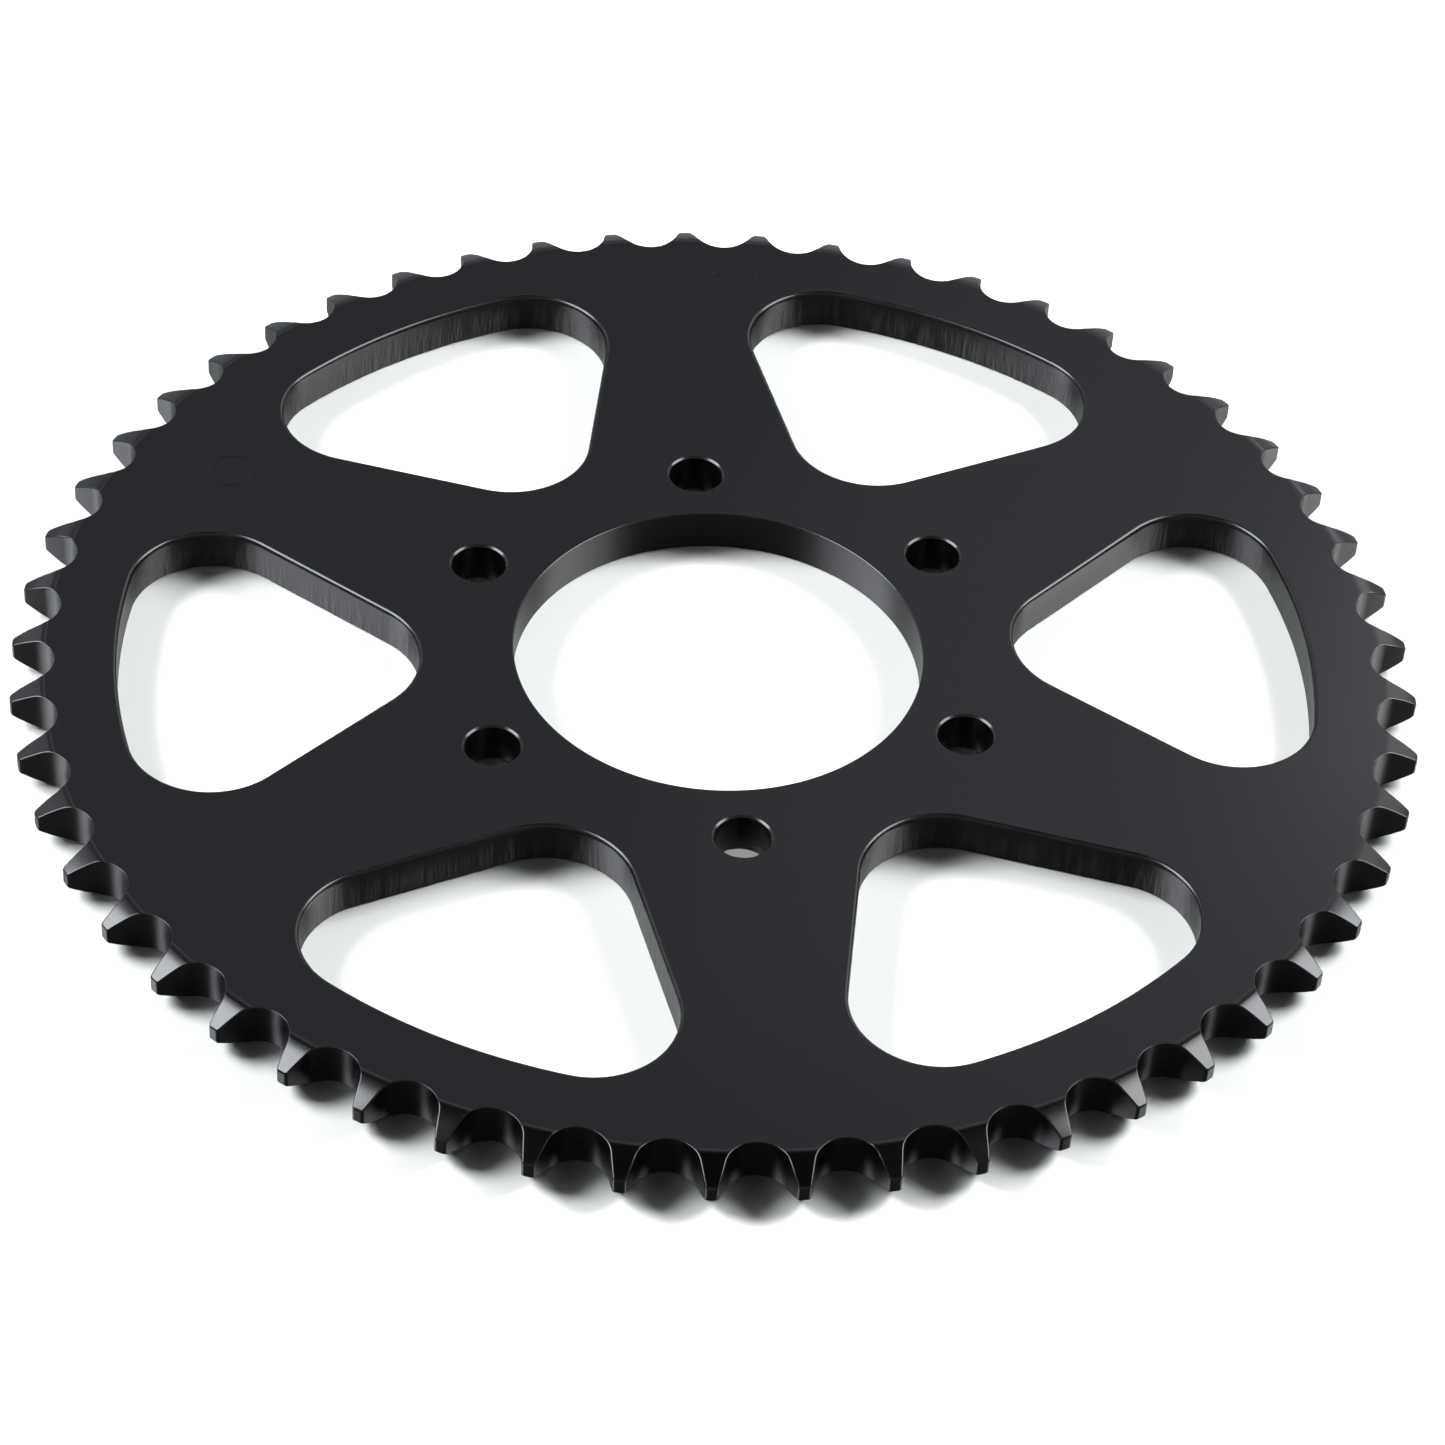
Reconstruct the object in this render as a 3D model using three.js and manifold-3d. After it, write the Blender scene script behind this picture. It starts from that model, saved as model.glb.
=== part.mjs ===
// Rear chain sprocket of a motorcycle: one flat steel plate, toothed outside,
// lightened by six rounded-triangle windows, with a centring bore and six
// bolt holes. Millimetres, +Z up. The bore's axis is the Z axis, the inner
// face lies on z = 0 and the outer face on z = PLATE_T.

import * as THREE from 'three';
import { mergeVertices } from 'three/addons/utils/BufferGeometryUtils.js';
import Module from 'manifold-3d';

// ---------- chain and toothing ----------
const CHAIN_PITCH = 12.7;        // 1/2 inch pitch roller chain
const TEETH = 53;
const ROOT_DROP = 4.39;          // bottom of the roller seats, below the pitch circle
const TIP_RISE = 2.51;           // tooth tips, above the pitch circle
const TOOTH_PHASE = -0.3;        // degrees, first tooth's centre from +X
const SEAT_R = 4.7;              // roller seat radius, running clearance on an 8.51 roller
const FLANK_LEAN = 17;           // degrees, flank against the gap's centre line, where it leaves the seat
const FLANK_R = 80;              // convex flank above the seat
const TIP_CORNER = 0.35;         // broken corner between flank and tip
const SEAT_STEPS = 8;            // facets round one roller seat

// ---------- plate ----------
const PLATE_T = 7.0;
const BEVEL_R = 104.9;           // where the tooth side bevel starts
const BEVEL_DEPTH = 2.25;        // how deep the bevel is at the tip, per side

// ---------- centre ----------
const BORE_R = 32.0;
const BORE_CHAMFER = 0.4;
const BORE_STEPS = 96;

// ---------- bolt holes ----------
const BOLT_COUNT = 6;
const BOLT_CIRCLE_R = 42.0;
const BOLT_HOLE_R = 4.25;
const BOLT_CHAMFER = 0.4;
const BOLT_STEPS = 24;
const BOLT_PHASE = 30;           // degrees, first hole from +X

// ---------- windows ----------
const WINDOW_COUNT = 6;
const WINDOW_OUTER_R = 93.2;     // concentric outer edge
const WINDOW_CORNER_R = 12.7;    // the two outer corners
const WINDOW_CORNER_AT = 11.93;  // degrees, corner centres either side of the window's axis
const WINDOW_APEX_R = 13.1;      // the corner towards the hub
const WINDOW_APEX_AT = 59.8;     // its centre's distance from the bore axis

const rad = THREE.MathUtils.degToRad;
const half = Math.PI / TEETH;    // half a tooth pitch as an angle
const pitchR = CHAIN_PITCH / (2 * Math.sin(half));
const rootR = pitchR - ROOT_DROP;
const tipR = pitchR + TIP_RISE;
const seatAt = rootR + SEAT_R;   // seat centre, just outside the pitch circle

const wasm = await Module();
wasm.setup();

// A closed three.js geometry as a solid: position only, shared vertices
// merged, collapsed triangles dropped, faces turned outwards.
function solid(geometry) {
  const g = geometry.clone();
  for (const name of Object.keys(g.attributes)) if (name !== 'position') g.deleteAttribute(name);
  const m = mergeVertices(g, 1e-4);
  const p = m.attributes.position;
  const idx = m.index.array;
  const tris = [];
  let volume = 0;
  const a = new THREE.Vector3(), b = new THREE.Vector3(), c = new THREE.Vector3();
  for (let i = 0; i < idx.length; i += 3) {
    const [u, v, w] = [idx[i], idx[i + 1], idx[i + 2]];
    if (u === v || v === w || w === u) continue;
    a.fromBufferAttribute(p, u); b.fromBufferAttribute(p, v); c.fromBufferAttribute(p, w);
    volume += a.dot(b.clone().cross(c));
    tris.push(u, v, w);
  }
  if (volume < 0) for (let i = 0; i < tris.length; i += 3) [tris[i], tris[i + 1]] = [tris[i + 1], tris[i]];
  return new wasm.Manifold(new wasm.Mesh({
    numProp: 3,
    vertProperties: new Float32Array(p.array),
    triVerts: new Uint32Array(tris),
  }));
}

function toGeometry(manifold) {
  const mesh = manifold.getMesh();
  const g = new THREE.BufferGeometry();
  g.setAttribute('position', new THREE.BufferAttribute(new Float32Array(mesh.vertProperties), 3));
  g.setIndex(new THREE.BufferAttribute(new Uint32Array(mesh.triVerts), 1));
  g.computeVertexNormals();
  return g;
}

// A turned solid about the Z axis from (radius, z) pairs. `at` is the angle
// from +X of its first facet corner.
function turned(profile, steps, at = 0) {
  const g = new THREE.LatheGeometry(profile.map(([r, z]) => new THREE.Vector2(r, z)), steps, Math.PI / 2 + at, Math.PI * 2);
  g.rotateX(Math.PI / 2);
  return g;
}

// Points of an arc from angle a0 to a1, ends included.
function arc(cx, cy, r, a0, a1, steps) {
  const out = [];
  for (let i = 0; i <= steps; i++) {
    const t = a0 + (a1 - a0) * i / steps;
    out.push(new THREE.Vector2(cx + r * Math.cos(t), cy + r * Math.sin(t)));
  }
  return out;
}

// ---------- one tooth, from its gap's middle to the next gap's middle ----------
// Seat arc, convex flank tangent to it, broken corner, tip. Built beside the gap at angle 0, then turned so that the tooth
// stands on +X, and mirrored.
function halfTooth() {
  const lean = rad(FLANK_LEAN);
  const seatEnd = Math.PI / 2 - lean;
  const pts = [];
  for (let i = 0; i <= SEAT_STEPS / 2; i++) {
    const t = seatEnd * i / (SEAT_STEPS / 2);
    pts.push([seatAt - SEAT_R * Math.cos(t), SEAT_R * Math.sin(t)]);
  }
  // flank: its direction turns towards the tooth as it rises
  const flank = [];
  let [x, y] = pts[pts.length - 1];
  const ds = 0.02;
  let s = 0;
  while (Math.hypot(x, y) < tipR) {
    const dir = seatEnd - (s + ds / 2) / FLANK_R;
    x += ds * Math.sin(dir);
    y += ds * Math.cos(dir);
    s += ds;
    flank.push([x, y]);
  }
  const corner = Math.round(TIP_CORNER / ds);
  const last = flank.length - 1 - corner;
  pts.push(flank[Math.round(last / 2)], flank[last]);
  // the corner's other end, on the tip circle
  const [ex, ey] = flank[flank.length - 1];
  const end = Math.atan2(ey, ex) + TIP_CORNER * 0.8 / tipR;
  pts.push([tipR * Math.cos(end), tipR * Math.sin(end)]);
  return pts;
}

function toothRing() {
  const h = halfTooth();
  const rise = h.map(([x, y]) => new THREE.Vector2(x, y).rotateAround(new THREE.Vector2(), -half));
  const fall = rise.slice(1).reverse().map((p) => new THREE.Vector2(p.x, -p.y));
  const one = [...rise, ...fall];
  const ring = [];
  for (let k = 0; k < TEETH; k++) {
    for (const p of one) ring.push(p.clone().rotateAround(new THREE.Vector2(), 2 * half * k + rad(TOOTH_PHASE)));
  }
  return ring;
}

// ---------- one window, on +X, then turned ----------
function windowOutline(turn) {
  const be = rad(WINDOW_CORNER_AT);
  const cu = new THREE.Vector2(Math.cos(be), Math.sin(be)).multiplyScalar(WINDOW_OUTER_R - WINDOW_CORNER_R);
  const ci = new THREE.Vector2(WINDOW_APEX_AT, 0);
  const d = cu.clone().sub(ci);
  // direction of the straight side's normal: tangent to both corner arcs
  const na = Math.atan2(d.y, d.x) + Math.acos((WINDOW_APEX_R - WINDOW_CORNER_R) / d.length());
  const pts = [
    ...arc(0, 0, WINDOW_OUTER_R, -be, be, 8),
    ...arc(cu.x, cu.y, WINDOW_CORNER_R, be, na, 9).slice(1),
    ...arc(ci.x, ci.y, WINDOW_APEX_R, na, 2 * Math.PI - na, 10),
    ...arc(cu.x, -cu.y, WINDOW_CORNER_R, -na, -be, 9).slice(0, -1),
  ];
  return pts.map((p) => p.rotateAround(new THREE.Vector2(), turn));
}

// A straight hole with both edges chamfered, as the solid to take away.
function holeCutter(r, chamfer, steps) {
  const over = 1;
  return turned([
    [0, -over],
    [r + chamfer + over, -over],
    [r, chamfer],
    [r, PLATE_T - chamfer],
    [r + chamfer + over, PLATE_T + over],
    [0, PLATE_T + over],
  ], steps);
}

// ---------- the plate ----------
const outline = new THREE.Shape(toothRing());
for (let k = 0; k < WINDOW_COUNT; k++) outline.holes.push(new THREE.Path(windowOutline(2 * Math.PI * k / WINDOW_COUNT)));
const blank = solid(new THREE.ExtrudeGeometry(outline, { depth: PLATE_T, bevelEnabled: false, steps: 1, curveSegments: 1 }));

// The bevelled envelope: one flat facet to each tooth and side, its corners
// over the gaps.
const up = 1 / Math.cos(half);
const slope = BEVEL_DEPTH / (tipR - BEVEL_R);
const outR = tipR + 1.5;
const outZ = (outR - BEVEL_R) * slope;
const envelope = solid(turned([
  [0, 0],
  [BEVEL_R * up, 0],
  [outR * up, outZ],
  [outR * up, PLATE_T - outZ],
  [BEVEL_R * up, PLATE_T],
  [0, PLATE_T],
], TEETH, half + rad(TOOTH_PHASE)));

let plate = blank.intersect(envelope);
plate = plate.subtract(solid(holeCutter(BORE_R, BORE_CHAMFER, BORE_STEPS)));
for (let k = 0; k < BOLT_COUNT; k++) {
  const a = rad(BOLT_PHASE + 360 * k / BOLT_COUNT);
  const g = holeCutter(BOLT_HOLE_R, BOLT_CHAMFER, BOLT_STEPS);
  g.translate(BOLT_CIRCLE_R * Math.cos(a), BOLT_CIRCLE_R * Math.sin(a), 0);
  plate = plate.subtract(solid(g));
}

const blackCoat = new THREE.MeshStandardMaterial({ color: 0x26272a, roughness: 0.45, metalness: 0.35, flatShading: true });

const sprocketPlate = new THREE.Mesh(toGeometry(plate), blackCoat);
sprocketPlate.name = 'sprocket_plate';

const rearSprocket = new THREE.Group();
rearSprocket.name = 'rear_sprocket';
rearSprocket.add(sprocketPlate);

export default rearSprocket;
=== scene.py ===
# Rear chain sprocket, black coated steel: the fine visual model round the
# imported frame. Lengths in millimetres in the geometry section, metres in the
# scene.
import bpy
import math
import random
import numpy as np
from mathutils import Matrix, Vector
from mathutils.geometry import delaunay_2d_cdt


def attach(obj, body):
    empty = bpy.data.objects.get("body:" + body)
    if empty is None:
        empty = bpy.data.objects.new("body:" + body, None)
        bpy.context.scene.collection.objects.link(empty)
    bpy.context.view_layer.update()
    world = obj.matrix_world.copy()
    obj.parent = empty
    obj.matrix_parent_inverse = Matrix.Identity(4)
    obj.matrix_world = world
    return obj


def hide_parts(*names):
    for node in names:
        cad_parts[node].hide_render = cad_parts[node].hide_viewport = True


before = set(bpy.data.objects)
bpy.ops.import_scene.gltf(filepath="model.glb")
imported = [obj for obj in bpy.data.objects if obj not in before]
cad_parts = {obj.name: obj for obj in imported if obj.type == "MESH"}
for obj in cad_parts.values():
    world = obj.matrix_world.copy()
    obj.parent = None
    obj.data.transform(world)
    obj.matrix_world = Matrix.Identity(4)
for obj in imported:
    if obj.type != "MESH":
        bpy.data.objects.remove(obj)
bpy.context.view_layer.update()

SEED = 20411
rng = np.random.default_rng(SEED)

# ------------------------------------------------------------ dimensions
PITCH, TEETH = 12.7, 53
HALF = math.pi / TEETH
PITCH_R = PITCH / (2 * math.sin(HALF))
ROOT_R = PITCH_R - 4.39
TIP_R = PITCH_R + 2.51 - 0.004
PHASE = math.radians(-0.3)
SEAT_R = 4.7
SEAT_AT = ROOT_R + SEAT_R
LEAN = math.radians(17.0)
FLANK_R = 80.0
TIP_FILLET = 0.52
T = 7.0
BEVEL_R = 104.9
BEVEL_DEPTH = 2.25
BEVEL_A = 0.30                     # slope where the bevel starts; it steepens to the tip
BEVEL_B = (BEVEL_DEPTH - BEVEL_A * (PITCH_R + 2.51 - BEVEL_R)) / (PITCH_R + 2.51 - BEVEL_R) ** 2
CREASE = 0.32                      # half width of the softened start of the bevel
CONTOURS = (BEVEL_R - CREASE, BEVEL_R - CREASE / 3, BEVEL_R + CREASE / 3, BEVEL_R + CREASE,
            106.2, 107.2, 108.2, 109.0)
BORE_R, BORE_CH = 32.0, 0.14
HOLE_N, HOLE_CIRCLE, HOLE_R, HOLE_CH, HOLE_PHASE = 6, 42.0, 4.25, 0.33, math.radians(30)
WIN_N, WIN_R, WIN_CR, WIN_AT, WIN_AR, WIN_AX = 6, 93.2, 12.7, math.radians(11.93), 13.1, 59.8
EDGE_SEAT, EDGE_TOOTH = 0.10, 0.24   # radius of the broken edges: roller seats, and flanks and tips
EDGE_WIN = 0.28                    # and the windows' lower edges
ROLL_IN, ROLL_DOWN = 0.62, 0.85    # the punch's roll-over round each window's upper edge

EDGE_ANGLES = [math.radians(a) for a in (0, 15, 30, 45, 60, 75, 90)]


def tooth_edge(r):
    """Radius of the toothing's broken edge where the wall is at radius r."""
    u = np.clip((np.asarray(r, float) - 103.7) / 2.0, 0, 1)
    return EDGE_SEAT + (EDGE_TOOTH - EDGE_SEAT) * u * u * (3 - 2 * u)


def inner_radius(p):
    e = float(tooth_edge(math.hypot(p[0], p[1])))
    return math.hypot(p[0] - p[2] * e, p[1] - p[3] * e)


# ------------------------------------------------------------ outlines
# A loop is an array of (x, y, nx, ny): points in order, with the direction
# out of the metal.
def seat_end():
    return math.pi / 2 - LEAN


def tooth_half_loop():
    """From the middle of a gap, on angle 0, to the middle of the tooth beside it."""
    d0 = seat_end()
    p0 = np.array([SEAT_AT - SEAT_R * math.cos(d0), SEAT_R * math.sin(d0)])
    cf = p0 - FLANK_R * np.array([math.cos(d0), -math.sin(d0)])
    # fillet tangent to the flank and to the tip circle
    ra, rb, dist = TIP_R - TIP_FILLET, FLANK_R - TIP_FILLET, np.hypot(*cf)
    a = (ra * ra - rb * rb + dist * dist) / (2 * dist)
    h = math.sqrt(ra * ra - a * a)
    e = cf / dist
    q1 = a * e + h * np.array([-e[1], e[0]])
    q2 = a * e - h * np.array([-e[1], e[0]])
    # the flank's outer end, where the tooth is
    q = min((q1, q2), key=lambda v: abs(math.atan2(v[1], v[0]) - 0.045))
    ne = (q - cf) / np.hypot(*(q - cf))
    d1 = math.atan2(-ne[1], ne[0])
    tip0 = math.atan2(q[1], q[0])

    def seat(t):
        return (SEAT_AT - SEAT_R * math.cos(t), SEAT_R * math.sin(t), math.cos(t), -math.sin(t))

    def flank(d):
        n = (math.cos(d), -math.sin(d))
        return (cf[0] + FLANK_R * n[0], cf[1] + FLANK_R * n[1], *n)

    def fillet(g):
        n = (math.cos(g), math.sin(g))
        return (q[0] + TIP_FILLET * n[0], q[1] + TIP_FILLET * n[1], *n)

    def tip(g):
        n = (math.cos(g), math.sin(g))
        return (TIP_R * n[0], TIP_R * n[1], *n)

    parts = [(seat, 0.0, d0, 20), (flank, d0, d1, 6), (fillet, -d1, tip0, 7), (tip, tip0, HALF, 3)]
    # evenly placed points, and one where each contour of the bevel meets the edge
    where, pts = [], []
    for k, (fun, u0, u1, n) in enumerate(parts):
        where += [(k, u) for u in np.linspace(u0, u1, n + 1)[(1 if k else 0):]]
        dense = np.linspace(u0, u1, 400)
        rr = [inner_radius(p) for p in map(fun, dense)]
        for c in CONTOURS:
            if rr[0] < c <= rr[-1]:
                up_ = float(np.interp(c, rr, dense))
                near = [w for w in where if w[0] == k and abs(w[1] - up_) < abs(u1 - u0) / n * 0.4
                        and 0 < abs(w[1] - u1) and 0 < abs(w[1] - u0)]
                for w in near:
                    where.remove(w)
                where.append((k, up_))
    # every part runs the same way: sort by part, then along it
    order = sorted(where, key=lambda w: (w[0], abs(w[1] - parts[w[0]][1])))
    pts = [parts[k][0](u) for k, u in order]
    inner = [inner_radius(p) for p in pts]
    at = [int(np.argmin([abs(r - c) for r in inner])) for c in CONTOURS]
    return pts, at


def turn(a, loop):
    c, s = math.cos(a), math.sin(a)
    m = np.array(loop, float)
    out = m.copy()
    out[:, 0] = c * m[:, 0] - s * m[:, 1]
    out[:, 1] = s * m[:, 0] + c * m[:, 1]
    out[:, 2] = c * m[:, 2] - s * m[:, 3]
    out[:, 3] = s * m[:, 2] + c * m[:, 3]
    return out


def toothing():
    """The whole outline, and for each tooth the index pairs that the bevel's crease lines join."""
    h, at = tooth_half_loop()
    rise = turn(-HALF, h)
    fall = rise[::-1][1:].copy()
    fall[:, 1] *= -1
    fall[:, 3] *= -1
    one = np.vstack([rise, fall[:-1]])
    n = len(one)
    last = len(rise) + len(fall) - 1
    ring = np.vstack([turn(2 * HALF * k + PHASE, one) for k in range(TEETH)])
    pairs = []
    for k in range(TEETH):
        for i in at:
            pairs.append((k * n + i, k * n + last - i))
    return ring, pairs


def arc(cx, cy, r, a0, a1, n):
    """Arc that leaves the metal outside it: the way out of the metal is towards the centre."""
    a = np.linspace(a0, a1, n + 1)
    return np.c_[cx + r * np.cos(a), cy + r * np.sin(a), -np.cos(a), -np.sin(a)]


def straight(p, q, n):
    t = np.linspace(0, 1, n + 1)[1:-1, None]
    xy = p[None, :2] * (1 - t) + q[None, :2] * t
    return np.c_[xy, np.repeat(p[None, 2:], len(t), 0)]


def window(a):
    cu = np.array([math.cos(WIN_AT), math.sin(WIN_AT)]) * (WIN_R - WIN_CR)
    ci = np.array([WIN_AX, 0.0])
    d = cu - ci
    na = math.atan2(d[1], d[0]) + math.acos((WIN_AR - WIN_CR) / np.hypot(*d))
    # the outer edge is concentric with the plate
    outer = arc(0, 0, WIN_R, -WIN_AT, WIN_AT, 66)
    c1 = arc(cu[0], cu[1], WIN_CR, WIN_AT, na, 44)
    ap = arc(ci[0], ci[1], WIN_AR, na, 2 * math.pi - na, 48)
    c2 = arc(cu[0], -cu[1], WIN_CR, -na, -WIN_AT, 44)
    s1 = straight(c1[-1], ap[0], 50)
    s2 = straight(ap[-1], c2[0], 50)
    return turn(a, np.vstack([outer, c1[1:], s1, ap, s2, c2[:-1]]))


def circle(cx, cy, r, n, a0=0.0):
    a = a0 + np.arange(n) * 2 * math.pi / n
    return np.c_[cx + r * np.cos(a), cy + r * np.sin(a), -np.cos(a), -np.sin(a)]


# ------------------------------------------------------------ surface heights
def bevel_slope(r):
    """Slope of the face: none on the flat, easing in at the bevel and steepening to the tip."""
    r = np.asarray(r, float)
    u = np.clip((r - (BEVEL_R - CREASE)) / (2 * CREASE), 0, 1)
    return u * (BEVEL_A + 2 * BEVEL_B * np.clip(r - BEVEL_R, 0, None))


_R = np.linspace(BEVEL_R - CREASE, PITCH_R + 3.5, 4000)
_D = np.concatenate([[0], np.cumsum((bevel_slope(_R[1:]) + bevel_slope(_R[:-1])) / 2 * np.diff(_R))])


def bevel_drop(r):
    """How far the face lies below the flat."""
    return np.interp(np.asarray(r, float), _R, _D)


def face_normal(xy):
    r = np.hypot(xy[:, 0], xy[:, 1])
    s = bevel_slope(r)
    n = np.c_[xy[:, 0] / r * s, xy[:, 1] / r * s, np.ones(len(r))]
    return n / np.linalg.norm(n, axis=1)[:, None]


# ------------------------------------------------------------ mesh assembly
V, N, EDGE, WALL, PUNCH, F, FLAT = [], [], [], [], [], [], []
punched = 0.0


def add(xyz, nrm, edge, wall):
    base = len(V)
    V.extend(map(tuple, xyz))
    N.extend(map(tuple, nrm))
    EDGE.extend(np.broadcast_to(edge, len(xyz)).tolist())
    WALL.extend(np.broadcast_to(wall, len(xyz)).tolist())
    PUNCH.extend((np.broadcast_to(wall, len(xyz)) * punched).tolist())
    return list(range(base, base + len(xyz)))


def strip(a, b, flip=False):
    n = len(a)
    for i in range(n):
        j = (i + 1) % n
        q = (a[i], a[j], b[j], b[i])
        F.append(q[::-1] if flip else q)
        FLAT.append(False)


def smooth_noise(n, waves, seed):
    """Closed run of n smoothly varying numbers, about -1 to 1."""
    g = np.random.default_rng(seed)
    t = np.arange(n) * 2 * math.pi / n
    out = np.zeros(n)
    for w in waves:
        k = max(1, int(round(w)))
        out += g.normal() * np.cos(k * t + g.uniform(0, 6.28)) / math.sqrt(len(waves))
    return out


def rounded_edge(across, down):
    """Quarter ellipse from the face to the wall: (offset into the metal, drop, tilt, wear) for radius 1."""
    out = []
    for t in reversed(EDGE_ANGLES):
        tilt = math.atan2(math.sin(t) / down, math.cos(t) / across) if 0 < t < 1.57 else t
        out.append((across * (1 - math.cos(t)), down * (1 - math.sin(t)), tilt,
                    math.sin(2 * t) if 0 < t < 1.57 else 0.0))
    return out


def ring_of(loop, edge_r, rows, kind, top_inner, bottom_inner, uneven=None, outer=False, profile=None):
    global punched
    """Wall of one outline with its broken edges. Returns nothing; the loops on the two faces
    go into top_inner and bottom_inner."""
    xy, n2 = loop[:, :2], loop[:, 2:]
    flip = outer
    # top edge, from the face inwards to the wall
    prev = None
    up = None
    er = np.broadcast_to(np.asarray(edge_r, float), len(xy))[:, None]
    punched = 0.0
    for d, drop, th, worn in profile or rounded_edge(1.0, 1.0):
        k = 1.0 if profile else er
        p = xy - n2 * d * k
        r = np.hypot(p[:, 0], p[:, 1])
        z = T - bevel_drop(r) - drop * (k if profile else er[:, 0])
        fn = face_normal(p)
        nn = np.c_[n2 * math.cos(th), np.zeros(len(p))] + fn * math.sin(th)
        nn /= np.linalg.norm(nn, axis=1)[:, None]
        ids = add(np.c_[p, z], nn, worn, 0.0 if th > 1.5 else math.cos(th))
        if prev is None:
            top_inner.append(ids)
        else:
            strip(prev, ids, flip)
        prev = ids
    zt = z
    # wall
    zb = bevel_drop(np.hypot(xy[:, 0], xy[:, 1])) + er[:, 0]
    for k, (f, off, tilt, torn) in enumerate(rows):
        punched = torn
        z = zt + (zb - zt) * f
        o = off if uneven is None else off + uneven[k]
        p = xy - n2 * (o if np.ndim(o) == 0 else o[:, None])
        nn = np.c_[n2, np.full(len(p), tilt)]
        nn /= np.linalg.norm(nn, axis=1)[:, None]
        ids = add(np.c_[p, z], nn, 0.0, 1.0)
        strip(prev, ids, flip)
        prev = ids
    base_off = rows[-1][1] if rows else 0.0
    # bottom edge
    for th in EDGE_ANGLES:
        d = er * (1 - math.cos(th)) + base_off
        drop = er[:, 0] * (1 - math.sin(th))
        p = xy - n2 * d
        r = np.hypot(p[:, 0], p[:, 1])
        z = bevel_drop(r) + drop
        fn = face_normal(p) * [1, 1, -1]
        nn = np.c_[n2 * math.cos(th), np.zeros(len(p))] + fn * math.sin(th)
        nn /= np.linalg.norm(nn, axis=1)[:, None]
        w = math.sin(2 * th) if 0 < th < math.pi / 2 else 0.0
        ids = add(np.c_[p, z], nn, w, 0.0 if th > 1.5 else math.cos(th))
        strip(prev, ids, flip)
        prev = ids
    bottom_inner.append(prev)


top_loops, bottom_loops = [], []

# toothing: smooth machined walls
ring, pairs = toothing()
ring_of(ring, tooth_edge(np.hypot(ring[:, 0], ring[:, 1])), [(0.33, 0.0, 0.0, 0.0), (0.67, 0.0, 0.0, 0.0)],
        "tooth", top_loops, bottom_loops, outer=True)

# windows: punched, with a smooth band below the top edge and a slightly
# drawn-back, uneven band under it
ROWS = [(0.08, 0.0, 0.0, 0.26), (0.16, 0.004, -0.004, 0.36), (0.24, 0.012, -0.010, 0.50), (0.32, 0.024, -0.014, 0.64),
        (0.40, 0.040, -0.018, 0.78), (0.50, 0.060, -0.018, 0.90), (0.62, 0.082, -0.016, 1.0), (0.78, 0.104, -0.013, 1.0),
        (0.92, 0.120, -0.010, 1.0)]
for k in range(WIN_N):
    w = window(2 * math.pi * k / WIN_N)
    n = len(w)
    low = smooth_noise(n, (3, 5, 8, 12, 17, 23), SEED + k)
    fine = smooth_noise(n, (31, 43, 57, 71, 88, 103, 120), SEED + 50 + k)
    uneven = []
    for f, off, tilt, torn in ROWS:
        a = torn
        u = a * (0.016 * low + 0.012 * fine)
        uneven.append(np.clip(u, -off, 0.05) if f < 0.95 else 0 * u)
    ring_of(w, EDGE_WIN, ROWS, "window", top_loops, bottom_loops, uneven=uneven,
            profile=rounded_edge(ROLL_IN, ROLL_DOWN))


punched = 0.0


def bored(cx, cy, r, ch, n):
    """A turned hole with both edges chamfered and the chamfer's own corners just broken."""
    e = 0.07
    c45 = math.sqrt(0.5)
    prof = [  # (radius, z, radial part of the normal towards the axis, z part, edge, wall)
        (r + ch + e, T, 0, 1, 0, 0),
        (r + ch - e * 0.6, T - e * 0.75, c45, c45, 0.6, 0.2),
        (r + e * 0.75, T - ch + e * 0.6, c45, c45, 0.6, 0.6),
        (r, T - ch - e, 1, 0, 0, 1),
        (r, T * 0.68, 1, 0, 0, 1), (r, T * 0.5, 1, 0, 0, 1), (r, T * 0.32, 1, 0, 0, 1),
        (r, ch + e, 1, 0, 0, 1),
        (r + e * 0.75, ch - e * 0.6, c45, -c45, 0.6, 0.6),
        (r + ch - e * 0.6, e * 0.75, c45, -c45, 0.6, 0.2),
        (r + ch + e, 0, 0, -1, 0, 0),
    ]
    prev = None
    for i, (rr, z, a, b, ed, wl) in enumerate(prof):
        c = circle(cx, cy, rr, n)
        ids = add(np.c_[c[:, :2], np.full(n, z)], np.c_[c[:, 2:] * a, np.full(n, float(b))], ed, wl)
        if prev is None:
            top_loops.append(ids)
        else:
            strip(prev, ids)
        prev = ids
    bottom_loops.append(prev)


bored(0, 0, BORE_R, BORE_CH, 288)
for k in range(HOLE_N):
    a = HOLE_PHASE + 2 * math.pi * k / HOLE_N
    bored(HOLE_CIRCLE * math.cos(a), HOLE_CIRCLE * math.sin(a), HOLE_R, HOLE_CH, 72)


# ------------------------------------------------------------ struck marks
# Plain shapes only: a row of punch dots on the rim, and a ring and dots on the left.
DOT_R, DOT_DEPTH = 0.62, 0.10
marks = []                                       # each: list of (loop xy, depth)


def dot(cx, cy, r=DOT_R, depth=DOT_DEPTH):
    marks.append([(circle(cx, cy, r, 14)[:, :2], 0.0), (circle(cx, cy, r * 0.5, 14)[:, :2], depth)])


def ring_groove(cx, cy, r, width, depth):
    w = width / 2
    marks.append([(circle(cx, cy, r + w, 40)[:, :2], 0.0), (circle(cx, cy, r + w * 0.3, 40)[:, :2], depth),
                  (circle(cx, cy, r - w * 0.3, 40)[:, :2], depth), (circle(cx, cy, r - w, 40)[:, :2], 0.0)])


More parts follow.
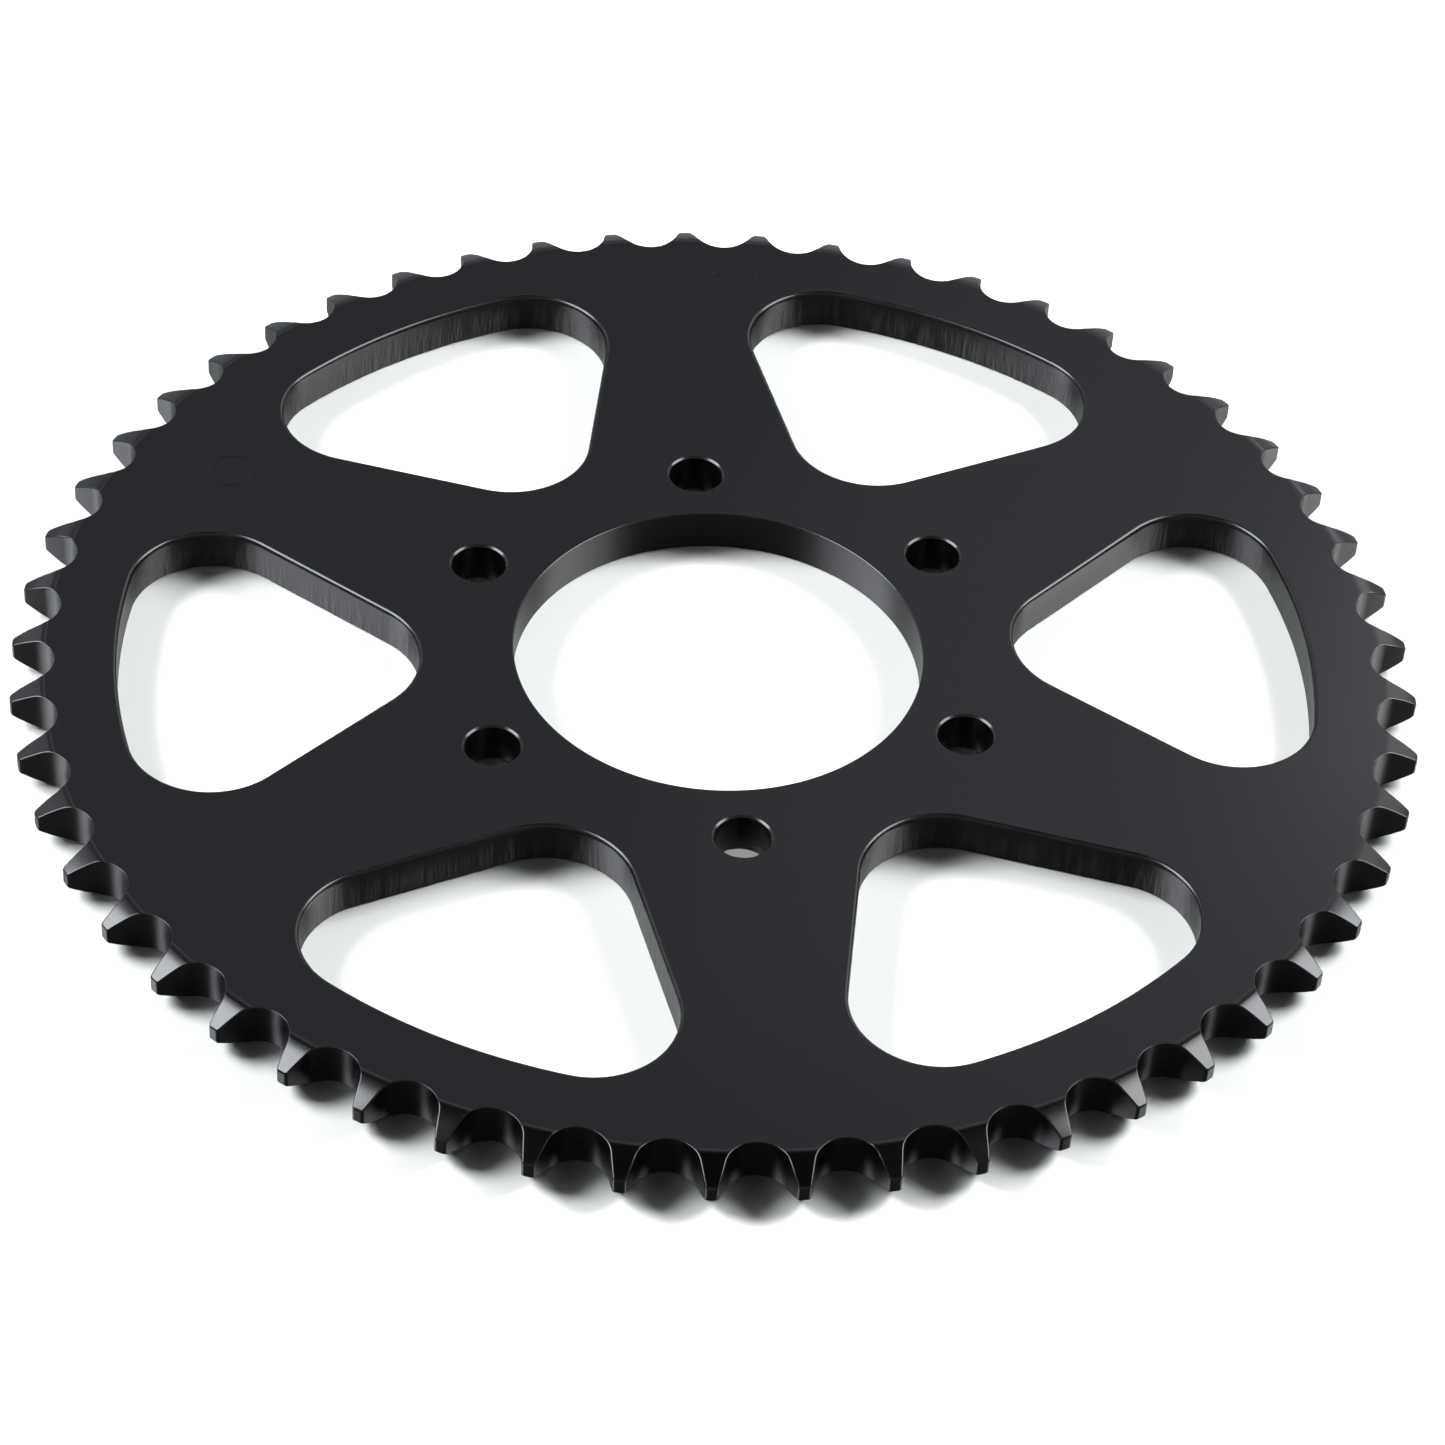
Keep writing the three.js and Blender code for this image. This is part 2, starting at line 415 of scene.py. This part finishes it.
# the row on the rim
for i in range(13):
    a = math.radians(98.2 - i * 1.45)
    dot(95.3 * math.cos(a), 95.3 * math.sin(a), 0.78 if i == 9 else 0.60, 0.045 if i == 9 else 0.030)
# a plain ring with a dot in it, and a short row of dots beside it
mc = np.array([-75.2, 44.6])
ma = math.radians(-22)
mu, mv = np.array([math.cos(ma), math.sin(ma)]), np.array([-math.sin(ma), math.cos(ma)])
ring_groove(mc[0], mc[1], 3.6, 0.85, 0.040)
dot(*mc, 0.8, 0.030)
for i in range(5):
    dot(*(mc + mu * (7.4 + 2.2 * i)), 0.60, 0.032)
for i in range(3):
    dot(*(mc + mu * (7.4 + 2.2 * i) - mv * 3.4), 0.60, 0.032)

# ------------------------------------------------------------ the two faces
pts2, edges2, faces2, ident = [], [], [], []


def region(ids_xy, ident_ids):
    base = len(pts2)
    pts2.extend(Vector((float(x), float(y))) for x, y in ids_xy)
    ident.extend(ident_ids)
    faces2.append(list(range(base, base + len(ids_xy))))
    return base


VV = np.array(V)
start = []
for ids in top_loops:
    start.append(region(VV[ids][:, :2], ids))
n_outline = len(top_loops)
# crease of the bevel on each tooth: from flank to flank along the circle
outer_ids = top_loops[0]
crease_new = []
for i, j in pairs:
    p, q = VV[outer_ids[i]][:2], VV[outer_ids[j]][:2]
    a0, a1 = math.atan2(p[1], p[0]), math.atan2(q[1], q[0])
    if a1 - a0 > math.pi:
        a1 -= 2 * math.pi
    if a0 - a1 > math.pi:
        a1 += 2 * math.pi
    r = np.hypot(*p)
    prev = start[0] + i
    for s in np.linspace(0, 1, 8)[1:-1]:
        a = a0 + (a1 - a0) * s
        pts2.append(Vector((r * math.cos(a), r * math.sin(a))))
        ident.append(None)
        edges2.append((prev, len(pts2) - 1))
        prev = len(pts2) - 1
    edges2.append((prev, start[0] + j))
# struck marks
mark_depth = {}
mark_first = len(faces2)
for m in marks:
    for xy, depth in m:
        b = region(xy, [None] * len(xy))
        for i in range(len(xy)):
            mark_depth[b + i] = depth
cv, ce, cf, ov, oe, of_ = delaunay_2d_cdt(pts2, edges2, faces2, 1, 1e-7, True)
keep = []
for tri, src in zip(cf, of_):
    s = set(src)
    if 0 in s and not any(1 <= i < n_outline for i in s):
        keep.append((tri, any(i >= mark_first for i in s)))

top_of, bottom_of = {}, {}
bot_ids = {}
for ids_t, ids_b in zip(top_loops, bottom_loops):
    for a, b in zip(ids_t, ids_b):
        bot_ids[a] = b
for v, src in enumerate(ov):
    old = [ident[s] for s in src if ident[s] is not None]
    if old:
        top_of[v] = old[0]
        bottom_of[v] = bot_ids[old[0]]
        continue
    x, y = cv[v]
    depth = max([mark_depth.get(s, 0.0) for s in src] or [0.0])
    xy = np.array([[x, y]])
    d = float(bevel_drop(math.hypot(x, y)))
    fn = face_normal(xy)
    worn = 0.35 if depth == 0 and any(s in mark_depth for s in src) else 0.0
    top_of[v] = add([(x, y, T - d - depth)], fn, worn, 0.0)[0]
    bottom_of[v] = add([(x, y, d)], fn * [1, 1, -1], 0.0, 0.0)[0]
for tri, marked in keep:
    a = [top_of[i] for i in tri]
    b = [bottom_of[i] for i in tri]
    p = [np.array(V[i]) for i in a]
    if np.cross(p[1] - p[0], p[2] - p[0])[2] < 0:
        a = a[::-1]
    p = [np.array(V[i]) for i in b]
    if np.cross(p[1] - p[0], p[2] - p[0])[2] > 0:
        b = b[::-1]
    zs = [V[i][2] for i in a]
    F.append(tuple(a))
    FLAT.append(marked and max(zs) - min(zs) > 0.02)
    F.append(tuple(b))
    FLAT.append(False)

# ------------------------------------------------------------ the mesh
MM = 0.001
mesh = bpy.data.meshes.new("sprocket_plate_fine")
VV = np.array(V)
mesh.from_pydata((VV * MM).tolist(), [], [list(f) for f in F])
mesh.validate(verbose=False)
for name, data in (("edge", EDGE), ("wall", WALL), ("punched", PUNCH)):
    at = mesh.attributes.new(name, "FLOAT", "POINT")
    at.data.foreach_set("value", np.array(data, dtype=np.float32))
mesh.polygons.foreach_set("use_smooth", [True] * len(mesh.polygons))
mesh.update()
NN = np.array(N)
NN /= np.linalg.norm(NN, axis=1)[:, None]
corner = np.zeros((len(mesh.loops), 3))
for poly, flat in zip(mesh.polygons, FLAT):
    fn = np.array(poly.normal)
    for li in poly.loop_indices:
        corner[li] = fn if flat else NN[mesh.loops[li].vertex_index]
mesh.normals_split_custom_set(corner.tolist())
plate = bpy.data.objects.new("sprocket_plate_fine", mesh)
bpy.context.scene.collection.objects.link(plate)
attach(plate, "root")
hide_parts("sprocket_plate")


# ------------------------------------------------------------ black coating
def new_material(name):
    m = bpy.data.materials.new(name)
    m.use_nodes = True
    m.node_tree.nodes.clear()
    return m, m.node_tree


def node(nt, kind, at=(0, 0), **values):
    n = nt.nodes.new(kind)
    n.location = at
    for k, v in values.items():
        if k in n.inputs:
            n.inputs[k].default_value = v
        else:
            setattr(n, k, v)
    return n


def black_coat():
    m, nt = new_material("black_coated_steel")
    L = nt.links.new
    out = node(nt, "ShaderNodeOutputMaterial", (1400, 0))
    bsdf = node(nt, "ShaderNodeBsdfPrincipled", (1100, 0))
    bsdf.inputs["Metallic"].default_value = 0.0
    bsdf.inputs["IOR"].default_value = 1.5
    bsdf.inputs["Specular IOR Level"].default_value = 0.5
    L(bsdf.outputs["BSDF"], out.inputs["Surface"])
    tc = node(nt, "ShaderNodeTexCoord", (-1500, 0))
    edge = node(nt, "ShaderNodeAttribute", (-900, 500)); edge.attribute_name = "edge"
    wall = node(nt, "ShaderNodeAttribute", (-900, 300)); wall.attribute_name = "wall"
    cut = node(nt, "ShaderNodeAttribute", (-900, 700)); cut.attribute_name = "punched"

    # cloudy variation over centimetres and a fine coat grain
    cloud = node(nt, "ShaderNodeTexNoise", (-900, 0), Scale=38.0, Detail=4.0, Roughness=0.55)
    L(tc.outputs["Object"], cloud.inputs["Vector"])
    grain = node(nt, "ShaderNodeTexNoise", (-900, -250), Scale=2600.0, Detail=3.0, Roughness=0.6)
    L(tc.outputs["Object"], grain.inputs["Vector"])
    # streaks down the cut walls: the same all the way down, short along the edge
    flat = node(nt, "ShaderNodeMapping", (-1200, -520)); flat.inputs["Scale"].default_value = (1, 1, 0.13)
    L(tc.outputs["Object"], flat.inputs["Vector"])
    streak = node(nt, "ShaderNodeTexNoise", (-900, -520), Scale=900.0, Detail=5.0, Roughness=0.62)
    L(flat.outputs["Vector"], streak.inputs["Vector"])
    blot = node(nt, "ShaderNodeTexNoise", (-900, -780), Scale=300.0, Detail=3.0, Roughness=0.6)
    L(tc.outputs["Object"], blot.inputs["Vector"])

    # colour
    base = node(nt, "ShaderNodeMix", (-500, 100)); base.data_type = "RGBA"
    base.inputs["A"].default_value = (0.0005, 0.0006, 0.0007, 1)
    base.inputs["B"].default_value = (0.0010, 0.0012, 0.0013, 1)
    L(cloud.outputs["Fac"], base.inputs["Factor"])
    sr = node(nt, "ShaderNodeMapRange", (-500, -520)); sr.inputs["From Min"].default_value = 0.42; sr.inputs["From Max"].default_value = 0.66
    L(streak.outputs["Fac"], sr.inputs["Value"])
    sw = node(nt, "ShaderNodeMath", (-300, -420), operation="MULTIPLY")
    L(sr.outputs["Result"], sw.inputs[0]); L(cut.outputs["Fac"], sw.inputs[1])
    col2 = node(nt, "ShaderNodeMix", (0, 60)); col2.data_type = "RGBA"
    col2.inputs["B"].default_value = (0.034, 0.0358, 0.0362, 1)
    swk = node(nt, "ShaderNodeMath", (-150, -300), operation="MULTIPLY"); swk.inputs[1].default_value = 0.55
    L(sw.outputs["Value"], swk.inputs[0])
    L(swk.outputs["Value"], col2.inputs["Factor"]); L(base.outputs["Result"], col2.inputs["A"])
    # worn, slightly paler edges
    er = node(nt, "ShaderNodeMapRange", (-500, 400)); er.inputs["From Min"].default_value = 0.36; er.inputs["From Max"].default_value = 0.70
    L(blot.outputs["Fac"], er.inputs["Value"])
    em = node(nt, "ShaderNodeMath", (-300, 450), operation="MULTIPLY")
    L(er.outputs["Result"], em.inputs[0]); L(edge.outputs["Fac"], em.inputs[1])
    ek = node(nt, "ShaderNodeMath", (-100, 450), operation="MULTIPLY"); ek.inputs[1].default_value = 0.5
    L(em.outputs["Value"], ek.inputs[0])
    col3 = node(nt, "ShaderNodeMix", (300, 100)); col3.data_type = "RGBA"
    col3.inputs["B"].default_value = (0.016, 0.0165, 0.017, 1)
    L(ek.outputs["Value"], col3.inputs["Factor"]); L(col2.outputs["Result"], col3.inputs["A"])
    # the flat faces: the same few percent of reflection as the coat elsewhere, but it doesn't rise as much
    # at a low angle, as on a fine matt texture
    ptc = node(nt, "ShaderNodeTexCoord", (-900, 1000))
    plen = node(nt, "ShaderNodeVectorMath", (-700, 1000)); plen.operation = "LENGTH"
    L(ptc.outputs["Object"], plen.inputs[0])
    prad = node(nt, "ShaderNodeMapRange", (-500, 1000)); prad.interpolation_type = "SMOOTHSTEP"
    prad.inputs["From Min"].default_value = 0.1049; prad.inputs["From Max"].default_value = 0.1043
    L(plen.outputs["Value"], prad.inputs["Value"])
    pw = node(nt, "ShaderNodeMapRange", (-500, 800)); pw.inputs["From Max"].default_value = 0.2
    pw.inputs["To Min"].default_value = 1.0; pw.inputs["To Max"].default_value = 0.0
    L(wall.outputs["Fac"], pw.inputs["Value"])
    flat = node(nt, "ShaderNodeMath", (-300, 900), operation="MULTIPLY")
    L(prad.outputs["Result"], flat.inputs[0]); L(pw.outputs["Result"], flat.inputs[1])
    col4 = node(nt, "ShaderNodeMix", (700, 300)); col4.data_type = "RGBA"
    col4.inputs["B"].default_value = (0.0535, 0.0540, 0.0545, 1)
    L(flat.outputs["Value"], col4.inputs["Factor"]); L(col3.outputs["Result"], col4.inputs["A"])
    tint = node(nt, "ShaderNodeMix", (700, 500)); tint.data_type = "RGBA"
    tint.inputs["A"].default_value = (1, 1, 1, 1); tint.inputs["B"].default_value = (0.36, 0.36, 0.36, 1)
    L(flat.outputs["Value"], tint.inputs["Factor"])
    L(col4.outputs["Result"], bsdf.inputs["Base Color"])
    L(tint.outputs["Result"], bsdf.inputs["Specular Tint"])
    L(flat.outputs["Value"], bsdf.inputs["Metallic"])

    # roughness
    rr = node(nt, "ShaderNodeMapRange", (-500, -150))
    rr.inputs["From Min"].default_value = 0.3; rr.inputs["From Max"].default_value = 0.7
    rr.inputs["To Min"].default_value = 0.165; rr.inputs["To Max"].default_value = 0.19
    L(cloud.outputs["Fac"], rr.inputs["Value"])
    rw = node(nt, "ShaderNodeMix", (0, -200)); rw.data_type = "FLOAT"
    rw.inputs["B"].default_value = 0.28
    L(wall.outputs["Fac"], rw.inputs["Factor"]); L(rr.outputs["Result"], rw.inputs["A"])
    re = node(nt, "ShaderNodeMix", (300, -200)); re.data_type = "FLOAT"
    re.inputs["B"].default_value = 0.22
    L(edge.outputs["Fac"], re.inputs["Factor"]); L(rw.outputs["Result"], re.inputs["A"])
    rc = node(nt, "ShaderNodeMix", (600, -200)); rc.data_type = "FLOAT"
    rc.inputs["B"].default_value = 0.33
    L(cut.outputs["Fac"], rc.inputs["Factor"]); L(re.outputs["Result"], rc.inputs["A"])
    L(rc.outputs["Result"], bsdf.inputs["Roughness"])

    # bump: coat grain everywhere, streaks on the walls
    b1 = node(nt, "ShaderNodeBump", (500, -500)); b1.inputs["Strength"].default_value = 0.05; b1.inputs["Distance"].default_value = 0.00004
    L(grain.outputs["Fac"], b1.inputs["Height"])
    b2 = node(nt, "ShaderNodeBump", (750, -500)); b2.inputs["Strength"].default_value = 0.55; b2.inputs["Distance"].default_value = 0.00008
    L(sw.outputs["Value"], b2.inputs["Height"]); L(b1.outputs["Normal"], b2.inputs["Normal"])
    L(b2.outputs["Normal"], bsdf.inputs["Normal"])
    return m


mesh.materials.append(black_coat())

ROOM_FRONT, ROOM_BACK = 0.012, 0.47

# ------------------------------------------------------------ floor
fm, nt = new_material("pale_floor")
fo = node(nt, "ShaderNodeOutputMaterial", (900, 0))
fb = node(nt, "ShaderNodeBsdfPrincipled", (300, 0))
fb.inputs["Roughness"].default_value = 0.75
fb.inputs["Specular IOR Level"].default_value = 0.25
fn_ = node(nt, "ShaderNodeTexNoise", (-300, 0), Scale=3.0, Detail=2.0)
fx = node(nt, "ShaderNodeMix", (0, 0)); fx.data_type = "RGBA"
fx.inputs["A"].default_value = (0.865, 0.87, 0.87, 1)
fx.inputs["B"].default_value = (0.885, 0.89, 0.89, 1)
nt.links.new(fn_.outputs["Fac"], fx.inputs["Factor"])
nt.links.new(fx.outputs["Result"], fb.inputs["Base Color"])
# in mirrored rays: a satin sheet with painted shade, deep grey under and before the plate, and painted light, paler
# round and behind it
fg = node(nt, "ShaderNodeBsdfPrincipled", (300, -500))
fg.inputs["Roughness"].default_value = 0.28
fg.inputs["Specular IOR Level"].default_value = 1.0
fg.inputs["Coat Weight"].default_value = 1.0
fg.inputs["Coat IOR"].default_value = 1.8
fg.inputs["Coat Roughness"].default_value = 0.22
ftc = node(nt, "ShaderNodeTexCoord", (-900, -500))
fsep = node(nt, "ShaderNodeSeparateXYZ", (-700, -600))
flen = node(nt, "ShaderNodeVectorMath", (-700, -400)); flen.operation = "LENGTH"
nt.links.new(ftc.outputs["Object"], fsep.inputs["Vector"])
nt.links.new(ftc.outputs["Object"], flen.inputs[0])
# painted shade: in mirrored rays the floor is deep grey under the plate and in front of it
painted_shade_radial = node(nt, "ShaderNodeMapRange", (-450, -400)); painted_shade_radial.interpolation_type = "SMOOTHSTEP"
painted_shade_radial.inputs["From Min"].default_value = 0.1005; painted_shade_radial.inputs["From Max"].default_value = 0.1065
nt.links.new(flen.outputs["Value"], painted_shade_radial.inputs["Value"])
painted_shade_front = node(nt, "ShaderNodeMapRange", (-450, -650)); painted_shade_front.interpolation_type = "SMOOTHSTEP"
painted_shade_front.inputs["From Min"].default_value = -0.085; painted_shade_front.inputs["From Max"].default_value = 0.0
nt.links.new(fsep.outputs["Y"], painted_shade_front.inputs["Value"])
floor_painted_shade_mask = node(nt, "ShaderNodeMath", (-200, -500), operation="MULTIPLY")
nt.links.new(painted_shade_radial.outputs["Result"], floor_painted_shade_mask.inputs[0]); nt.links.new(painted_shade_front.outputs["Result"], floor_painted_shade_mask.inputs[1])
# painted shade colour under and before the plate, painted light colour round and behind it
floor_painted_shade_mix = node(nt, "ShaderNodeMix", (0, -500)); floor_painted_shade_mix.data_type = "RGBA"
floor_painted_shade_mix.inputs["A"].default_value = (0.036, 0.037, 0.037, 1)
floor_painted_shade_mix.inputs["B"].default_value = (0.125, 0.128, 0.128, 1)
nt.links.new(floor_painted_shade_mask.outputs["Value"], floor_painted_shade_mix.inputs["Factor"])
# painted light: in mirrored rays the floor is paler beside the openings' side walls
painted_light_attr = node(nt, "ShaderNodeAttribute", (-200, -750)); painted_light_attr.attribute_name = "painted_light_beside"
floor_painted_light_mix = node(nt, "ShaderNodeMix", (150, -500)); floor_painted_light_mix.data_type = "RGBA"
floor_painted_light_mix.inputs["B"].default_value = (0.50, 0.51, 0.51, 1)
nt.links.new(painted_light_attr.outputs["Fac"], floor_painted_light_mix.inputs["Factor"])
nt.links.new(floor_painted_shade_mix.outputs["Result"], floor_painted_light_mix.inputs["A"])
nt.links.new(floor_painted_light_mix.outputs["Result"], fg.inputs["Base Color"])
# far from the plate, beyond the photo's view, it meets the pale background without a seam
ffar = node(nt, "ShaderNodeMapRange", (0, 300)); ffar.interpolation_type = "SMOOTHSTEP"
ffar.inputs["From Min"].default_value = 0.35; ffar.inputs["From Max"].default_value = 0.85
nt.links.new(flen.outputs["Value"], ffar.inputs["Value"])
fe = node(nt, "ShaderNodeEmission", (0, 500))
fe.inputs["Color"].default_value = (0.93, 0.94, 0.95, 1)
ffm = node(nt, "ShaderNodeMixShader", (500, 250))
nt.links.new(ffar.outputs["Result"], ffm.inputs["Fac"])
nt.links.new(fb.outputs["BSDF"], ffm.inputs[1])
nt.links.new(fe.outputs["Emission"], ffm.inputs[2])
flp = node(nt, "ShaderNodeLightPath", (300, 400))
fmix = node(nt, "ShaderNodeMixShader", (650, 0))
nt.links.new(flp.outputs["Is Glossy Ray"], fmix.inputs["Fac"])
nt.links.new(ffm.outputs["Shader"], fmix.inputs[1])
nt.links.new(fg.outputs["BSDF"], fmix.inputs[2])
nt.links.new(fmix.outputs["Shader"], fo.inputs["Surface"])
fmesh = bpy.data.meshes.new("floor")
S = 1.3
fine_x = [-S, -0.7, -0.3, -0.16] + list(np.linspace(-0.125, 0.125, 126)) + [0.16, 0.3, 0.7, S]
nx = len(fine_x)
fpts = np.array([(x, y) for y in fine_x for x in fine_x])
fmesh.from_pydata([(float(x), float(y), -0.00005) for x, y in fpts], [],
                  [(j * nx + i, j * nx + i + 1, (j + 1) * nx + i + 1, (j + 1) * nx + i)
                   for j in range(nx - 1) for i in range(nx - 1)])


def painted_light_beside(points):
    """Painted light for mirrored rays: 1 on the floor beside an opening's side walls, 0 in front of its back wall and
    under the plate.
    """
    near, m = np.full(len(points), 9.0), np.zeros(len(points))
    ring_a = np.linspace(0, 2 * math.pi, 180, endpoint=False)
    loops = [window(2 * math.pi * k / WIN_N) for k in range(WIN_N)]
    loops.append(np.c_[BORE_R * np.cos(ring_a), BORE_R * np.sin(ring_a), -np.cos(ring_a), -np.sin(ring_a)])
    for w in loops:
        w = w[::max(1, len(w) // 160)]
        d = np.hypot(points[:, 0][:, None] - w[:, 0], points[:, 1][:, None] - w[:, 1])
        j, dj = d.argmin(1), d.min(1)
        t = np.clip((w[j, 3] + 0.82) / 0.70, 0, 1)
        v = t * t * (3 - 2 * t)
        m = np.where(dj < near, v, m)
        near = np.minimum(near, dj)
    return m


# the painted-light mask, stored on the floor's points
painted_light_layer = fmesh.attributes.new("painted_light_beside", "FLOAT", "POINT")
painted_light_layer.data.foreach_set("value", painted_light_beside(fpts * 1000).astype(np.float32))
fmesh.materials.append(fm)
floor = bpy.data.objects.new("floor", fmesh)
bpy.context.scene.collection.objects.link(floor)

# ------------------------------------------------------------ light
# A plain room: paler behind the plate than in front of it or overhead, and
# pale wherever the camera looks straight at it. Two softboxes, left and right.
world = bpy.data.worlds.new("studio")
bpy.context.scene.world = world
world.use_nodes = True
wn = world.node_tree
wn.nodes.clear()
wo = node(wn, "ShaderNodeOutputWorld", (900, 0))
room = node(wn, "ShaderNodeBackground", (300, 100))
seen = node(wn, "ShaderNodeBackground", (300, -200))
seen.inputs["Color"].default_value = (0.93, 0.94, 0.95, 1)
seen.inputs["Strength"].default_value = 1.0
path = node(wn, "ShaderNodeLightPath", (300, 400))
pick = node(wn, "ShaderNodeMixShader", (600, 0))
wtc = node(wn, "ShaderNodeTexCoord", (-900, 0))
sep = node(wn, "ShaderNodeSeparateXYZ", (-700, 0))
wn.links.new(wtc.outputs["Generated"], sep.inputs["Vector"])
depth = node(wn, "ShaderNodeMapRange", (-450, 100)); depth.interpolation_type = "SMOOTHSTEP"
depth.inputs["From Min"].default_value = -0.25; depth.inputs["From Max"].default_value = 0.55
depth.inputs["To Min"].default_value = ROOM_FRONT; depth.inputs["To Max"].default_value = ROOM_BACK
wn.links.new(sep.outputs["Y"], depth.inputs["Value"])
high = node(wn, "ShaderNodeMapRange", (-450, -200)); high.interpolation_type = "SMOOTHSTEP"
high.inputs["From Min"].default_value = 0.70; high.inputs["From Max"].default_value = 0.95
high.inputs["To Min"].default_value = 1.0; high.inputs["To Max"].default_value = 0.05
wn.links.new(sep.outputs["Z"], high.inputs["Value"])
lvl = node(wn, "ShaderNodeMath", (-200, 0), operation="MULTIPLY")
wn.links.new(depth.outputs["Result"], lvl.inputs[0]); wn.links.new(high.outputs["Result"], lvl.inputs[1])
room.inputs["Color"].default_value = (0.90, 0.95, 1.04, 1)
fill = node(wn, "ShaderNodeMapRange", (-450, -500)); fill.interpolation_type = "SMOOTHSTEP"
fill.inputs["From Min"].default_value = -0.05; fill.inputs["From Max"].default_value = -0.45
fill.inputs["To Min"].default_value = 0.0; fill.inputs["To Max"].default_value = 0.30
wn.links.new(sep.outputs["Y"], fill.inputs["Value"])
fh = node(wn, "ShaderNodeMath", (-200, -400), operation="MULTIPLY")
wn.links.new(fill.outputs["Result"], fh.inputs[0]); wn.links.new(high.outputs["Result"], fh.inputs[1])
fgl = node(wn, "ShaderNodeMath", (0, -400), operation="MULTIPLY")
wn.links.new(fh.outputs["Value"], fgl.inputs[0]); wn.links.new(path.outputs["Is Glossy Ray"], fgl.inputs[1])
tot = node(wn, "ShaderNodeMath", (100, 0), operation="ADD")
wn.links.new(lvl.outputs["Value"], tot.inputs[0]); wn.links.new(fgl.outputs["Value"], tot.inputs[1])
wn.links.new(tot.outputs["Value"], room.inputs["Strength"])
wn.links.new(path.outputs["Is Camera Ray"], pick.inputs["Fac"])
wn.links.new(room.outputs["Background"], pick.inputs[1])
wn.links.new(seen.outputs["Background"], pick.inputs[2])
wn.links.new(pick.outputs["Shader"], wo.inputs["Surface"])


def softbox(name, az, el, dist, w, h, radiance, color, shape="RECTANGLE"):
    """az from the view's depth axis towards +X, el above the floor, in degrees; w is level."""
    a, e = math.radians(az), math.radians(el)
    at = Vector((math.sin(a) * math.cos(e), math.cos(a) * math.cos(e), math.sin(e))) * dist
    data = bpy.data.lights.new(name, "AREA")
    data.shape = shape
    data.size, data.size_y = w, h
    data.energy = radiance * math.pi * w * h * (math.pi / 4 if shape == "ELLIPSE" else 1)
    data.color = color
    o = bpy.data.objects.new(name, data)
    o.location = at
    o.rotation_mode = "QUATERNION"
    o.rotation_quaternion = (-at).to_track_quat("-Z", "Y")
    bpy.context.scene.collection.objects.link(o)
    return o


# two softboxes that the coat mirrors, and two lower lamps that light the floor
for name, az, el, dist, w, h, radiance, color, shape in (
        ("softbox_left", -89.0, 41.0, 1.1, 0.80, 0.98, 12.6, (0.95, 0.98, 1.04), "ELLIPSE"),
        ("softbox_right", 94.0, 38.0, 1.1, 0.80, 0.92, 9.8, (0.97, 0.99, 1.02), "ELLIPSE"),
        ("panel_left", -43.0, 29.0, 1.5, 0.78, 0.80, 0.46, (0.95, 0.98, 1.04), "RECTANGLE"),
        ("panel_right", 44.0, 29.0, 1.5, 0.92, 0.88, 1.05, (0.97, 0.99, 1.02), "RECTANGLE"),
        ("panel_wide", 33.0, 38.0, 1.5, 0.98, 0.80, 0.20, (0.97, 0.99, 1.02), "RECTANGLE")):
    softbox(name, az, el, dist, w, h, radiance, color, shape).visible_diffuse = False
for name, az in (("lamp_left", -71.0), ("lamp_right", 71.0)):
    softbox(name, az, 34.0, 1.1, 0.46, 0.46, 33.0, (0.97, 1.0, 0.985)).visible_glossy = False

# a narrow lamp that reaches the floor through the front bolt hole
spot = bpy.data.lights.new("lamp_front_hole", "SPOT")
spot.energy = 7.0
spot.color = (1.0, 1.0, 0.98)
spot.spot_size, spot.spot_blend = math.radians(2.2), 0.4
spot.shadow_soft_size = 0.012
so = bpy.data.objects.new("lamp_front_hole", spot)
hole = Vector((0.0, -0.042, 0.0))
so.location = hole + Vector((0.0, -math.cos(math.radians(66)), math.sin(math.radians(66)))) * 0.5
so.rotation_mode = "QUATERNION"
so.rotation_quaternion = (so.location - hole).to_track_quat("Z", "Y")
so.visible_glossy = False
bpy.context.scene.collection.objects.link(so)

# ------------------------------------------------------------ camera
AZ, EL, ROLL, DIST = math.radians(-7.8174), math.radians(43.0706), math.radians(4.0492), 0.71038
TARGET = Vector((0.000143, -0.009735, 0.0))
back = Vector((math.sin(AZ) * math.cos(EL), -math.cos(AZ) * math.cos(EL), math.sin(EL)))
right = (-back).cross(Vector((0, 0, 1))).normalized()
up = right.cross(-back)
cx = right * math.cos(ROLL) + up * math.sin(ROLL)
cy = -right * math.sin(ROLL) + up * math.cos(ROLL)
cam_data = bpy.data.cameras.new("camera")
cam_data.sensor_width = 36.0
cam_data.sensor_fit = "AUTO"
cam_data.lens = 113.70
cam_data.clip_start, cam_data.clip_end = 0.01, 50
cam = bpy.data.objects.new("camera", cam_data)
m = Matrix((cx, cy, back)).transposed().to_4x4()
m.translation = TARGET + back * DIST
cam.matrix_world = m
bpy.context.scene.collection.objects.link(cam)
bpy.context.scene.camera = cam
bpy.context.scene.view_settings.view_transform = "Standard"
bpy.context.scene.view_settings.look = "None"
bpy.context.scene.view_settings.exposure = 0.0
bpy.context.scene.view_settings.gamma = 1.0
